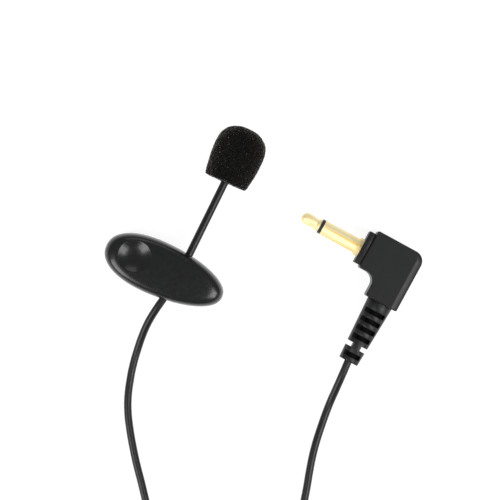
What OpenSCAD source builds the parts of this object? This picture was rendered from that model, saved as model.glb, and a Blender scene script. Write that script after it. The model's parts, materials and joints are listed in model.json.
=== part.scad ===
// Clip-on lavalier microphone lying on its back on a table.
// +Y runs along the microphone towards the windscreen, +X along the clip towards its jaws, +Z up.
// The origin is the middle of the clip's flat back. Millimetres.

/* [Windscreen] */
// Largest diameter of the foam windscreen
foam_d = 12.1; // [10:0.1:14.6]
// Diameter of the windscreen at its mouth
foam_mouth_d = 10.4; // [9:0.1:12.6]
// Length of the windscreen
foam_len = 13.6; // [11.2:0.1:16.4]
// Distance from the mouth to the widest ring
foam_belly = 8; // [6:0.1:9]
// Roundness of the windscreen's nose, higher is squarer
foam_nose = 2.3; // [2:0.1:3]
// Radial clearance of the windscreen on the head
foam_fit = 0.08; // [0.05:0.01:0.1]
// Gap between the head's front and the end of the windscreen's bore
foam_gap = 0.3; // [0.2:0.1:1]

/* [Head] */
// Outside diameter of the capsule housing
head_d = 7.4; // [6.8:0.1:8]
// Thickness of the housing's back wall
head_back = 1; // [0.8:0.1:1.6]
// How far the housing's back sits inside the windscreen's mouth
head_recess = 0.5; // [0.2:0.1:1]
// Free length behind the capsule for the soldered wires
wire_space = 1.2; // [1:0.1:2]
// Diameter of the electret capsule
can_d = 6; // [5.6:0.1:6.2]
// Length of the electret capsule
can_len = 5; // [4:0.1:6]
// Sheet thickness of the capsule's can
can_wall = 0.25; // [0.2:0.05:0.35]
// Diameter of the sound hole in the can's face
sound_hole_d = 1.6; // [1:0.1:2.5]
// Thickness of the dust felt
felt_t = 0.4; // [0.3:0.1:0.6]
// Thickness of the front grille
grille_t = 0.5; // [0.4:0.1:0.8]
// Diameter of each grille hole
grille_hole_d = 0.8; // [0.5:0.1:0.9]
// Thickness of the capsule's circuit board
board_t = 0.5; // [0.4:0.1:0.8]
// Thickness of the diaphragm and its ring
diaphragm_t = 0.3; // [0.2:0.05:0.4]
// Thickness of the backplate
backplate_t = 0.5; // [0.3:0.1:0.7]
// Clearance between pieces that nest in the head
nest_gap = 0.05; // [0.03:0.01:0.1]

/* [Cable] */
// Diameter of the cable
cable_d = 1.8; // [1.5:0.1:2]
// Diameter of each wire inside it
wire_d = 0.4; // [0.3:0.05:0.5]

/* [Clip] */
// Length of the clip
clip_len = 29.3; // [25:0.1:35]
// Width of the clip
clip_w = 12.4; // [11.8:0.1:15]
// Share by which the outline narrows towards the jaws
clip_taper = 0.12; // [0:0.01:0.15]
// Height of the front shell from its rim to its crown
shell_h = 5.4; // [4.8:0.1:6.6]
// Wall of the front shell
shell_wall = 1.2; // [0.9:0.1:1.4]
// Thickness of the rear jaw's plate
plate_t = 1.8; // [1.5:0.1:2.1]
// How far the rear plate stays inside the front shell's outline
plate_inset = 0.35; // [0.1:0.05:0.8]
// Gap between the rear plate and the front shell's rim
clip_gap = 3; // [2.7:0.1:3.6]
// Share of the shell's height by which its top is crowned, the rest being its sides
crowning = 0.1; // [0.06:0.01:0.15]
// Diameter of the thumb dimple
dimple_d = 7.4; // [6:0.1:8]
// Depth of the thumb dimple
dimple_depth = 0.9; // [0.5:0.1:1.1]
// Distance of the dimple from the middle of the clip, away from the jaws
dimple_x = 7.8; // [7:0.1:8.5]
// Distance of the dimple from the clip's centre line, towards the windscreen
dimple_y = 0.6; // [0:0.1:0.8]
// Distance of the hinge from the middle of the clip, away from the jaws
hinge_x = 1.5; // [1.2:0.1:2]
// Diameter of the hinge pin
hinge_pin_d = 1.5; // [1.3:0.1:1.6]
// Radial clearance of the rear jaw on the hinge pin
hinge_fit = 0.05; // [0.03:0.01:0.1]
// Thickness of each hinge ear
ear_t = 1.2; // [1:0.1:1.3]
// Play between the inner and outer ears
ear_gap = 0.2; // [0.15:0.05:0.3]
// Diameter of the spring wire
spring_wire_d = 0.45; // [0.4:0.05:0.5]
// Turns of the spring between its legs
spring_turns = 4; // [3:1:4]
// Radial clearance of the clip's channel on the cable
channel_fit = 0.07; // [0.05:0.01:0.1]
// Distance from the middle of the clip to the start of the jaws
jaw_x = 6.5; // [6:0.1:8]
// Width of the jaws
jaw_w = 6.2; // [5:0.1:7]
// Height of each jaw tooth
tooth_h = 0.4; // [0.3:0.05:0.5]
// Distance from one tooth to the next
tooth_pitch = 1.4; // [1.2:0.1:1.6]

/* [Plug] */
// Diameter of the plug's sleeve
sleeve_d = 3.5; // [2.5:0.1:3.5]
// Length of the contacts from the tip to the plug's face
contact_len = 15.4; // [14:0.1:17]
// Length of the tip contact
tip_len = 4.7; // [4.2:0.1:5]
// Thickness of the insulating ring
ring_t = 0.75; // [0.5:0.05:1]
// Length of the collar at the plug's face
collar_len = 1; // [0.5:0.1:1.5]
// Diameter of the collar
collar_d = 4.4; // [4:0.1:5]
// Thickness of the plug body
body_t = 8; // [7.4:0.1:9.6]
// Width of the leg that the cable enters
leg_w = 8.05; // [7.4:0.05:9.6]
// Distance from the pin's axis to the end of that leg
plug_drop = 9.1; // [8.6:0.1:11]
// Distance from the cable's axis to the plug's face
plug_reach = 10; // [9.4:0.1:12]
// Height of the plug body above the pin's axis
body_up = 5.35; // [4.9:0.05:6.5]
// Height of the plug body below the pin's axis, at its front
body_down = 4.15; // [4:0.05:5]
// Length of the inner mould that shows at the plug's face
nose_len = 1.6; // [1:0.1:2.4]
// Height of the inner mould above the pin's axis
nose_up = 4.4; // [3.6:0.1:4.6]
// Height of the inner mould below the pin's axis
nose_down = 3.6; // [3.2:0.1:3.9]
// Thickness of the inner mould
nose_t = 6.8; // [6:0.1:7]
// Radius of the plug body's outer corner
corner_r = 2.5; // [1:0.1:3]
// Radius of the plug body's inner corner
fillet_r = 2.4; // [1:0.1:3]

/* [Strain relief] */
// Length of the strain relief
relief_len = 15.3; // [14.6:0.1:18]
// Diameter of the strain relief at the cable
relief_end_d = 4.7; // [4.2:0.1:5]
// Diameter of the strain relief at the plug body
relief_root_d = 6.2; // [5.6:0.1:7]
// Width of each slot
slot_w = 1.13; // [0.9:0.01:1.3]
// Distance from one slot to the next
slot_pitch = 2.19; // [2:0.01:2.3]
// Number of slots
slots = 6; // [4:1:6]
// Thickness of the rails beside each slot
rail_t = 0.42; // [0.3:0.02:0.6]
// Thickness of the web that keeps a slot's upper and lower halves apart
web_t = 1; // [0.8:0.1:1.4]

/* [Stored cable] */
// Diameter of the coil at the middle of its turns
coil_d = 18; // [16:0.2:24]
// Layers of turns
coil_layers = 4; // [3:1:5]
// Turns in each layer
layer_turns = 3.6; // [2.6:0.2:4]
// Width of the tie
tie_w = 2.4; // [1.5:0.1:4]
// Thickness of the tie
tie_t = 0.35; // [0.3:0.05:0.5]

/* [Hidden] */
$fn = 48;
eps = 0.01;
cable_r = cable_d / 2;

// Places of the head and the stem
head_x = 4.35;
mouth_y = 24.4;
stem_z = foam_d / 2;
stem_end = [3.5, 1, stem_z];
bore_r = head_d / 2 + foam_fit;
housing_r = can_d / 2 + nest_gap;
can_z = head_recess + head_back + wire_space;
head_len = head_back + wire_space + can_len + felt_t + grille_t;
bore_len = head_recess + head_len + foam_gap;
wire_end_z = head_recess + head_back + 0.4;
stem_start = [head_x, mouth_y + wire_end_z, stem_z];
stem_dir = stem_start - stem_end;
stem_turn = -atan2(stem_dir.x, stem_dir.y);
boot_r = cable_r + 0.6;
wire_x = 0.45;

// Heights in the clip
rim_z = plate_t + clip_gap;
crown_z = rim_z + shell_h;
hinge_z = plate_t + 2.6;
hinge_r = hinge_pin_d / 2;
ear_r = hinge_r + 0.6;
inner_ear_y = 2.3;
outer_ear_y = inner_ear_y + ear_t + ear_gap;
pin_len = 2 * (outer_ear_y + ear_t);
spring_r = hinge_r + 0.2 + spring_wire_d / 2;
spring_leg = 5;
pad_z = rim_z + 2.2;
jaw_gap = 0.1;
jaw_end = clip_len / 2 - shell_wall;
teeth = floor((jaw_end - jaw_x) / tooth_pitch);
channel_r = cable_r + channel_fit;
channel_wall = 0.8;
notch_gap = 0.3;
notch_drift = 1.2;
// The dome has sloped down this far from its crown where the dimple starts
dimple_drop = 0.3;
dimple_r = (pow(dimple_d / 2, 2) + pow(dimple_depth, 2)) / (2 * dimple_depth);

// Places in the plug, from the end of its strain relief: +Y along the cable, -X along the pin
plug_at = [47.3, -1.5];
plug_turn = -4.3;
plug_z = body_t / 2;
pin_y = relief_len + plug_drop;
face_x = -plug_reach;
tip_x = face_x - contact_len;
front_x = face_x + nose_len;
rod_r = 0.65;
sleeve_r = sleeve_d / 2;
// Behind the collar the sleeve narrows to its tail
tail_r = sleeve_r - 0.25;
tail_z = contact_len - collar_len;
sleeve_hole_r = 0.95;
sleeve_in = 3;
rod_in = 4.4;
lug_t = 0.4;
core_x = 1.5;
core_half = 3;
room_half = 2.4;
core_r = cable_r + 0.2;
jacket_end = relief_len + 4.2;

// Places in the stored cable
coil_at = [43, -62];
coil_lift = tie_t + 0.05;
coil_w = (layer_turns + 1) * cable_d;
coil_h = coil_layers * cable_d;
tie_angle = -60;
cord_z = cable_r;

// The free cable's route from the clip to the coil, and from the coil to the plug
route_to_coil = [stem_end, [3.1, -2.5, 6], [2.4, -6, 5.8], [1.8, -9.2, 5.2], [1.4, -12.5, 4],
  [1.4, -16, 2.6], [1.7, -19.5, 1.6], [2.2, -23, 1.1], [3, -26.5, cord_z], [4.1, -30.1, cord_z],
  [5.6, -33.5, cord_z], [7.6, -36.9, cord_z], [9.9, -40.3, cord_z], [12.4, -43.7, cord_z],
  [15.2, -47.2, cord_z], [18, -50.8, cord_z], [21.2, -54.8, cord_z], [24.4, -58.8, cord_z],
  [27.6, -62.9, cord_z], [30.9, -66.9, 1.1], [34.4, -70.6, 1.3]];
route_to_plug = [[55, -60.1, 6.7], [54.6, -56.6, 6], [54.3, -53.1, 4.4], [54, -49.6, 2.6],
  [53.6, -46.1, 1.3], [53.1, -42.6, cord_z], [52.4, -39.1, cord_z], [51.6, -35.6, cord_z],
  [50.8, -32.2, cord_z], [49.9, -28.8, cord_z], [49.1, -25.4, cord_z], [48.5, -22, cord_z],
  [48.1, -18.6, cord_z], [47.8, -15.2, cord_z], [47.6, -11.9, 1.3], [47.5, -8.6, 2.4],
  [47.4, -5.2, 3.5], [plug_at.x, plug_at.y, plug_z]];

// ---------- shared shapes ----------

function unit(v) = v / norm(v);

// The direction of a path at its point i
function path_dir(path, i) =
  unit(path[min(i + 1, len(path) - 1)] - path[max(i - 1, 0)]);

// One ring of a tube round the path's point i, square to the path
function tube_ring(path, i, r, sides, side_ref) =
  let (
    along = path_dir(path, i),
    across = unit(cross(side_ref, along)),
    up = cross(along, across)
  )
  [for (k = [0 : sides - 1])
    path[i] + r * (cos(360 * k / sides) * across + sin(360 * k / sides) * up)];

// A closed tube along a path that never runs parallel to side_ref
module tube_along(path, r, sides = 8, side_ref = [0, 0, 1]) {
  rings = len(path);
  points = [for (i = [0 : rings - 1]) each tube_ring(path, i, r, sides, side_ref)];
  walls = [for (i = [0 : rings - 2]) for (k = [0 : sides - 1])
    let (a = i * sides + k, b = i * sides + (k + 1) % sides)
    [a, a + sides, b + sides, b]];
  first = [for (k = [0 : sides - 1]) k];
  last = [for (k = [sides - 1 : -1 : 0]) (rings - 1) * sides + k];
  polyhedron(points, concat(walls, [first, last]));
}

module ring(outer_r, inner_r, h) {
  difference() {
    cylinder(r = outer_r, h = h);
    translate([0, 0, -eps]) cylinder(r = inner_r, h = h + 2 * eps);
  }
}

function signed_pow(a, n) = sign(a) * pow(abs(a), n);

// The clip's egg outline, wide at -X and narrow at +X
egg_square = 2.2;
egg_sides = 56;
function egg(length, width) =
  [for (k = [0 : egg_sides - 1])
    let (
      a = 360 * k / egg_sides,
      u = signed_pow(cos(a), 2 / egg_square),
      v = signed_pow(sin(a), 2 / egg_square)
    )
    [length / 2 * u, width / 2 * v * (1 - clip_taper * u)]];

// A dome on that outline: upright sides, a round shoulder and a slightly crowned top, on a skirt
dome_levels = 7;
dome_square = 14;
dome_rise = 2.6;
module egg_dome(length, width, h, skirt) {
  outline = egg(length, width);
  function level(share, z) = [for (p = outline) [p.x * share, p.y * share, z]];
  angles = [for (i = [0 : dome_levels - 1]) 90 * sin(90 * i / dome_levels)];
  domed = [for (a = angles)
    let (share = pow(cos(a), 2 / dome_square))
    each level(share, h * ((1 - crowning) * pow(sin(a), 2 / dome_rise)
      + crowning * (1 - share * share)))];
  points = concat(level(1, -skirt), domed, [[0, 0, h]]);
  rings = dome_levels + 1;
  walls = [for (i = [0 : rings - 2]) for (k = [0 : egg_sides - 1])
    let (a = i * egg_sides + k, b = i * egg_sides + (k + 1) % egg_sides)
    each [[a, a + egg_sides, b], [b, a + egg_sides, b + egg_sides]]];
  base = [for (k = [0 : egg_sides - 1]) k];
  cap = [for (k = [0 : egg_sides - 1])
    [(rings - 1) * egg_sides + k, rings * egg_sides, (rings - 1) * egg_sides + (k + 1) % egg_sides]];
  polyhedron(points, concat([base], walls, cap));
}

// ---------- frames ----------

// The windscreen's mouth, with +Z towards its nose
module at_head() {
  translate([head_x, mouth_y, stem_z]) rotate([-90, 0, 0]) children();
}

// The straight stem, from its lower end, with +Z towards the head
module at_stem() {
  translate(stem_end) rotate([0, 0, stem_turn]) rotate([-90, 0, 0]) children();
}

// The hinge, with +Z along +Y
module at_hinge() {
  translate([-hinge_x, 0, hinge_z]) rotate([-90, 0, 0]) children();
}

// The end of the plug's strain relief
module at_plug() {
  translate([plug_at.x, plug_at.y, plug_z]) rotate([0, 0, plug_turn]) children();
}

// The pin's tip, with +Z along the pin towards the plug body
module at_pin() {
  at_plug() translate([tip_x, pin_y, 0]) rotate([0, 90, 0]) children();
}

// ---------- windscreen and head ----------

foam_steps = 14;
function foam_side(h) =
  foam_mouth_d / 2 + (foam_d - foam_mouth_d) / 2 * sin(90 * h / foam_belly);
function foam_top(h) =
  foam_d / 2 * pow(1 - pow((h - foam_belly) / (foam_len - foam_belly), foam_nose), 1 / foam_nose);

module foam_windscreen() {
  side = [for (i = [0 : foam_steps]) let (h = foam_belly * i / foam_steps) [foam_side(h), h]];
  nose = [for (i = [1 : foam_steps])
    let (h = foam_belly + (foam_len - foam_belly) * sin(90 * i / foam_steps))
    [i == foam_steps ? 0 : foam_top(h), h]];
  color("#1b1b1c") at_head() difference() {
    rotate_extrude() polygon(concat([[0, 0]], side, nose));
    translate([0, 0, -eps]) cylinder(r = bore_r, h = bore_len + eps);
  }
}

module capsule_housing() {
  color("#222224") at_head() translate([0, 0, head_recess]) difference() {
    cylinder(d = head_d, h = head_len);
    translate([0, 0, head_back]) cylinder(r = housing_r, h = head_len);
    translate([0, 0, -eps]) cylinder(r = boot_r + nest_gap, h = head_back + 2 * eps);
  }
}

module front_grille() {
  grille_ring = 1.7;
  color("#2c2c2e") at_head() translate([0, 0, can_z + can_len + felt_t]) difference() {
    cylinder(r = housing_r - nest_gap, h = grille_t);
    translate([0, 0, -eps]) cylinder(d = grille_hole_d, h = grille_t + 2 * eps);
    for (a = [0 : 60 : 300]) rotate(a) translate([grille_ring, 0, -eps])
      cylinder(d = grille_hole_d, h = grille_t + 2 * eps);
  }
}

module felt_disc() {
  color("#111111") at_head() translate([0, 0, can_z + can_len])
    cylinder(r = housing_r - nest_gap, h = felt_t);
}

crimp_r = 0.45;
module electret_can() {
  color("#c9cacc") at_head() translate([0, 0, can_z]) difference() {
    cylinder(d = can_d, h = can_len);
    translate([0, 0, can_wall]) cylinder(r = can_d / 2 - can_wall, h = can_len - 2 * can_wall);
    translate([0, 0, -eps]) cylinder(r = can_d / 2 - can_wall - crimp_r, h = can_wall + 2 * eps);
    translate([0, 0, can_len - can_wall - eps]) cylinder(d = sound_hole_d, h = can_wall + 2 * eps);
  }
}

inner_r = can_d / 2 - can_wall - nest_gap;
diaphragm_z = can_z + can_len - can_wall - diaphragm_t;
board_z = can_z + can_wall;
module diaphragm() {
  film_t = 0.1;
  color("#b58a3c") at_head() translate([0, 0, diaphragm_z]) {
    ring(inner_r, inner_r - 0.5, diaphragm_t);
    cylinder(r = inner_r - 0.4, h = film_t);
  }
}

module backplate() {
  port_ring = 1.3;
  color("#c8a24a") at_head() translate([0, 0, diaphragm_z - backplate_t]) difference() {
    cylinder(r = inner_r - 0.1, h = backplate_t);
    for (a = [45 : 90 : 315]) rotate(a) translate([port_ring, 0, -eps])
      cylinder(d = 0.5, h = backplate_t + 2 * eps);
  }
}

module backplate_holder() {
  holder_z = board_z + board_t;
  color("#e6e2d6") at_head() translate([0, 0, holder_z])
    ring(inner_r, inner_r - 0.5, diaphragm_z - backplate_t - holder_z);
}

module circuit_board() {
  color("#2f6b3a") at_head() translate([0, 0, board_z]) cylinder(r = inner_r, h = board_t);
}

module preamp_chip() {
  chip = [1.5, 1, 0.6];
  color("#18181a") at_head() translate([-chip.x / 2, -chip.y / 2, board_z + board_t]) cube(chip);
}

module head_wire(x) {
  at_head() translate([x, 0, wire_end_z]) cylinder(d = wire_d, h = board_z - wire_end_z, $fn = 24);
}

module signal_wire() {
  color("#b03028") head_wire(wire_x);
}

module shield_wire() {
  color("#b87333") head_wire(-wire_x);
}

module cable_boot() {
  flange_t = 0.4;
  color("#161617") difference() {
    at_head() translate([0, 0, 0.1]) {
      cylinder(r = boot_r, h = head_recess + head_back - 0.1);
      cylinder(r = boot_r + 0.5, h = flange_t);
    }
    at_stem() cylinder(r = cable_r + nest_gap, h = 2 * norm(stem_dir));
  }
}

module stem_cable() {
  color("#19191a") at_stem() cylinder(r = cable_r, h = norm(stem_dir));
}

// ---------- clip ----------

// Everything that stands inside the front shell, taller than the shell
module shell_bosses() {
  // outer hinge ears
  for (side = [-1, 1]) translate([-hinge_x, side * (outer_ear_y + ear_t / 2), 0]) {
    translate([0, 0, hinge_z]) rotate([90, 0, 0]) cylinder(r = ear_r, h = ear_t, center = true);
    translate([-ear_r, -ear_t / 2, hinge_z]) cube([2 * ear_r, ear_t, crown_z - hinge_z]);
  }
  // pad behind the thumb dimple
  translate([-dimple_x, dimple_y, pad_z]) cylinder(d = dimple_d, h = crown_z - pad_z);
  // front jaw
  translate([jaw_x, -jaw_w / 2, rim_z]) cube([jaw_end - jaw_x, jaw_w, shell_h]);
  // block that holds the cable
  channel_half = channel_r + channel_wall;
  translate([stem_end.x - channel_half, stem_end.y + 0.2, stem_z - 0.55])
    cube([2 * channel_half, 4.2, crown_z - stem_z]);
}

// A row of teeth across the jaws; each tooth is a ridge along Y that points along dir
module jaw_teeth(first_x, z, dir, width) {
  for (i = [0 : teeth - 1]) translate([first_x + i * tooth_pitch, width / 2, z])
    rotate([90, 0, 0]) linear_extrude(width)
      polygon([[-tooth_h, -dir * eps], [tooth_h, -dir * eps], [0, dir * tooth_h]]);
}

// Slots in the shell's sides that the cable leaves by, open at the rim
module cable_notches() {
  upper_x = stem_end.x + 5 * stem_dir.x / stem_dir.y;
  half = cable_r + notch_gap;
  side_y = clip_w / 2 - 2 * shell_wall;
  notch_h = stem_z + half - rim_z;
  translate([upper_x - half, side_y, rim_z - eps]) cube([2 * half, clip_w / 2, notch_h]);
  translate([stem_end.x - half - notch_drift, -side_y - clip_w / 2, rim_z - eps])
    cube([2 * half + notch_drift, clip_w / 2, notch_h]);
}

module clip_front_shell() {
  color("#232427") difference() {
    union() {
      difference() {
        translate([0, 0, rim_z]) egg_dome(clip_len, clip_w, shell_h, 0);
        translate([0, 0, rim_z])
          egg_dome(clip_len - 2 * shell_wall, clip_w - 2 * shell_wall, shell_h - shell_wall, 1);
      }
      intersection() {
        translate([0, 0, rim_z])
          egg_dome(clip_len - shell_wall, clip_w - shell_wall, shell_h - shell_wall / 2, clip_gap);
        shell_bosses();
      }
      jaw_teeth(jaw_x + tooth_h, rim_z, -1, jaw_w - 1.2);
    }
    translate([-dimple_x, dimple_y, crown_z - dimple_drop - dimple_depth + dimple_r])
      sphere(r = dimple_r);
    at_hinge() cylinder(r = hinge_r, h = pin_len + 2 * eps, center = true);
    at_stem() translate([0, 0, -1]) cylinder(r = channel_r, h = 8);
    cable_notches();
  }
}

module clip_rear_jaw() {
  inner_len = clip_len - 2 * plate_inset;
  inner_w = clip_w - 2 * plate_inset;
  jaw_top = rim_z - tooth_h - jaw_gap;
  color("#1f2022") difference() {
    union() {
      linear_extrude(plate_t) polygon(egg(inner_len, inner_w));
      intersection() {
        linear_extrude(rim_z) polygon(egg(inner_len - 1, inner_w - 1));
        translate([jaw_x, -jaw_w / 2, 0]) cube([jaw_end - jaw_x, jaw_w, jaw_top]);
      }
      jaw_teeth(jaw_x + tooth_h + tooth_pitch / 2, jaw_top, 1, jaw_w - 2);
      for (side = [-1, 1]) translate([-hinge_x, side * (inner_ear_y + ear_t / 2), 0]) {
        translate([0, 0, hinge_z]) rotate([90, 0, 0]) cylinder(r = ear_r, h = ear_t, center = true);
        translate([-ear_r, -ear_t / 2, plate_t / 2]) cube([2 * ear_r, ear_t, hinge_z - plate_t / 2]);
      }
    }
    at_hinge() cylinder(r = hinge_r + hinge_fit, h = pin_len, center = true);
  }
}

module hinge_pin() {
  color("#b9bcc0") at_hinge() cylinder(r = hinge_r, h = pin_len, center = true);
}

// Torsion spring: two legs towards the thumb end, one up to the shell and one down to the plate
spring_sides = 6;
turn_rings = 12;
module torsion_spring() {
  wire_r = spring_wire_d / 2;
  turns = spring_turns + 0.5;
  pitch = spring_wire_d + 0.05;
  start_y = -turns * pitch / 2;
  coil = [for (i = [0 : turns * turn_rings])
    let (a = 90 - 360 * i / turn_rings)
    [-hinge_x + spring_r * cos(a), start_y + pitch * i / turn_rings, hinge_z + spring_r * sin(a)]];
  leg_x = -hinge_x - spring_leg;
  mid_x = -hinge_x - spring_leg / 2;
  high_z = pad_z - wire_r - 0.05;
  low_z = plate_t + wire_r + 0.02;
  upper_leg = [[leg_x, start_y, high_z], [mid_x, start_y, (high_z + hinge_z + spring_r) / 2]];
  lower_leg = [[mid_x, -start_y, (low_z + hinge_z - spring_r) / 2], [leg_x, -start_y, low_z]];
  color("#a8abaf") tube_along(concat(upper_leg, coil, lower_leg), wire_r, spring_sides, [0, 1, 0]);
}

// ---------- free cable ----------

module cord_to_coil() {
  color("#19191a") tube_along(route_to_coil, cable_r);
}

module cord_to_plug() {
  color("#19191a") tube_along(route_to_plug, cable_r);
}

module cord_coil() {
  color("#19191a") translate([coil_at.x, coil_at.y, coil_lift]) rotate_extrude()
    translate([coil_d / 2 - coil_w / 2, 0]) square([coil_w, coil_h]);
}

module cord_tie() {
  slack = 0.2;
  inner = [coil_w + 2 * slack, tie_w + 2 * eps, coil_h + slack];
  color("#101011") translate([coil_at.x, coil_at.y, 0]) rotate([0, 0, tie_angle])
    translate([(coil_d - coil_w) / 2 - slack, -tie_w / 2, coil_lift - 0.02]) difference() {
      translate([-tie_t, 0, -tie_t]) cube(inner + [2 * tie_t, -2 * eps, 2 * tie_t]);
      translate([0, -eps, 0]) cube(inner);
    }
}

// ---------- plug ----------

// A rounded nose, a crown, a neck that the jack's spring drops into, a shoulder and the rod
module plug_tip() {
  crown_r = sleeve_r - 0.35;
  shoulder_r = sleeve_r - 0.25;
  neck_r = sleeve_r - 0.55;
  color("#d9a93f") at_pin() rotate_extrude() polygon([[0, 0], [crown_r - 0.8, 0.08],
    [crown_r - 0.42, 0.3], [crown_r - 0.14, 0.72], [crown_r, 1.3], [crown_r, 2.2],
    [neck_r, tip_len - 1.1], [neck_r, tip_len - 0.75], [shoulder_r, tip_len - 0.45],
    [shoulder_r, tip_len], [rod_r, tip_len], [rod_r, contact_len + rod_in],
    [0, contact_len + rod_in]]);
}

module plug_insulator_ring() {
  color("#151515") at_pin() translate([0, 0, tip_len]) ring(sleeve_r, rod_r + 0.02, ring_t);
}

module plug_insulator_tube() {
  color("#151515") at_pin() translate([0, 0, tip_len + ring_t])
    ring(sleeve_hole_r - 0.02, rod_r + 0.02, contact_len + sleeve_in + 0.6 - tip_len - ring_t);
}

module plug_sleeve() {
  start_z = tip_len + ring_t;
  color("#d9a93f") at_pin() {
    translate([0, 0, start_z]) ring(sleeve_r, sleeve_hole_r, tail_z - start_z);
    translate([0, 0, tail_z]) ring(tail_r, sleeve_hole_r, collar_len + sleeve_in);
  }
}

module plug_collar() {
  gap = 0.01;
  color("#d9a93f") at_pin() translate([0, 0, tail_z + gap])
    ring(collar_d / 2, tail_r + 0.02, collar_len - gap);
}

// Room for the lugs and wires, shared by the inner mould and the plug body
module wire_room() {
  translate([face_x + sleeve_in + eps, pin_y - room_half, -1.8])
    cube([core_x - 0.6 - face_x - sleeve_in, 2 * room_half, 3.6]);
  translate([-1.2, relief_len + 4, -1]) cube([2.1, pin_y - relief_len - 4, 2]);
}

module plug_inner_mould() {
  color("#1c1d1f") at_plug() difference() {
    union() {
      translate([face_x, pin_y - nose_down, -nose_t / 2]) cube([nose_len, nose_down + nose_up, nose_t]);
      translate([front_x - eps, pin_y - core_half, -core_half])
        cube([core_x - front_x, 2 * core_half, 2 * core_half]);
    }
    translate([face_x - eps, pin_y, 0]) rotate([0, 90, 0])
      cylinder(r = tail_r + 0.02, h = sleeve_in + 2 * eps);
    wire_room();
  }
}

module plug_tip_lug() {
  lug_x = face_x + rod_in;
  color("#c9a24a") at_plug() difference() {
    translate([lug_x, pin_y - 0.8, -lug_t / 2]) cube([2.4, 1.6, lug_t]);
    translate([lug_x + 1.6, pin_y, -lug_t]) cylinder(d = 0.6, h = 2 * lug_t);
  }
}

module plug_sleeve_lug() {
  lug_x = face_x + sleeve_in + 0.02;
  color("#c9a24a") at_plug() {
    translate([lug_x, pin_y, 0]) rotate([0, 90, 0]) ring(tail_r, sleeve_hole_r + 0.02, lug_t);
    translate([lug_x, pin_y - 2.2, -0.8]) cube([lug_t, 0.8, 1.6]);
    translate([lug_x, pin_y - 2.2, -0.8]) cube([3.2, lug_t, 1.6]);
  }
}

module plug_wire(path) {
  at_plug() tube_along(path, wire_d / 2, 8);
}

module plug_signal_wire() {
  color("#b03028") plug_wire([[0.45, jacket_end, 0], [0.45, pin_y - 3.4, 0.1], [0.3, pin_y - 1.6, 0.3],
    [-0.6, pin_y - 0.4, 0.4], [-2.2, pin_y, 0.41], [-3.6, pin_y, 0.41]]);
}

module plug_shield_wire() {
  color("#b87333") plug_wire([[-0.45, jacket_end, 0], [-0.45, pin_y - 4, 0], [-0.8, pin_y - 2.4, 0],
    [-1.8, pin_y - 1.65, 0], [-3, pin_y - 1.59, 0], [-4, pin_y - 1.59, 0]]);
}

module plug_cable_end() {
  color("#19191a") at_plug() rotate([-90, 0, 0]) cylinder(r = cable_r, h = jacket_end);
}

// Side view of the moulded body: a head on a leg, with a round outer corner and an inner fillet
module plug_side() {
  top = pin_y + body_up;
  under = pin_y - body_down;
  half = leg_w / 2;
  difference() {
    union() {
      translate([front_x, under]) square([half - front_x, top - under]);
      translate([-half, relief_len]) square([leg_w, top - relief_len]);
      translate([-half - fillet_r, under - fillet_r]) square([fillet_r + eps, fillet_r + eps]);
    }
    translate([-half - fillet_r, under - fillet_r]) circle(r = fillet_r);
    translate([half - corner_r, top - corner_r]) difference() {
      square(corner_r + 1);
      circle(r = corner_r);
    }
  }
}

module plug_body() {
  color("#2a2b2d") at_plug() difference() {
    translate([0, 0, -body_t / 2]) linear_extrude(body_t) plug_side();
    translate([front_x - 1, pin_y - core_half, -core_half])
      cube([core_x + 1 - front_x, 2 * core_half, 2 * core_half]);
    rotate([-90, 0, 0]) cylinder(r = cable_r + nest_gap, h = jacket_end);
    wire_room();
  }
}

// One slot from above and one from below, between two side rails, down to the core and its web
module face_slot(y) {
  rail_x = relief_end_d / 2 + (relief_root_d - relief_end_d) / 2 * y / relief_len - rail_t;
  difference() {
    for (side = [0, 1]) mirror([0, 0, side])
      translate([-rail_x, y, web_t / 2]) cube([2 * rail_x, slot_w, relief_root_d]);
    rotate([-90, 0, 0]) cylinder(r = core_r, h = relief_len);
  }
}

// The slot nearest but one to the cable is open at both sides instead
module side_slot(y) {
  for (side = [0, 1]) mirror([side, 0, 0])
    translate([core_r - 0.1, y, -relief_root_d]) cube([relief_root_d, slot_w, 2 * relief_root_d]);
}

side_slot_place = 1;
module strain_relief() {
  color("#242527") at_plug() difference() {
    rotate([-90, 0, 0]) cylinder(d1 = relief_end_d, d2 = relief_root_d, h = relief_len);
    rotate([-90, 0, 0]) translate([0, 0, -eps]) cylinder(r = cable_r + nest_gap, h = relief_len + 2 * eps);
    for (i = [0 : slots - 1]) {
      y = 1.1 + i * slot_pitch;
      if (i == side_slot_place) side_slot(y);
      else face_slot(y);
    }
  }
}

foam_windscreen();
capsule_housing();
front_grille();
felt_disc();
electret_can();
diaphragm();
backplate();
backplate_holder();
circuit_board();
preamp_chip();
signal_wire();
shield_wire();
cable_boot();
stem_cable();
clip_front_shell();
clip_rear_jaw();
hinge_pin();
torsion_spring();
cord_to_coil();
cord_coil();
cord_tie();
cord_to_plug();
plug_tip();
plug_insulator_ring();
plug_insulator_tube();
plug_sleeve();
plug_collar();
plug_inner_mould();
plug_tip_lug();
plug_sleeve_lug();
plug_signal_wire();
plug_shield_wire();
plug_cable_end();
plug_body();
strain_relief();
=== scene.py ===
"""Clip-on lavalier microphone: the looks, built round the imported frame.

Row frame in metres: the origin is the middle of the clip's flat back on the table, +Y runs along the
microphone towards its windscreen, +X along the clip towards its jaws, +Z up. Sizes that are named
below are in millimetres, and the functions that make objects turn them into metres.
"""
import functools
import json
import math

import bmesh
import bpy
import numpy as np
from mathutils import Matrix, Vector, noise


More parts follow.
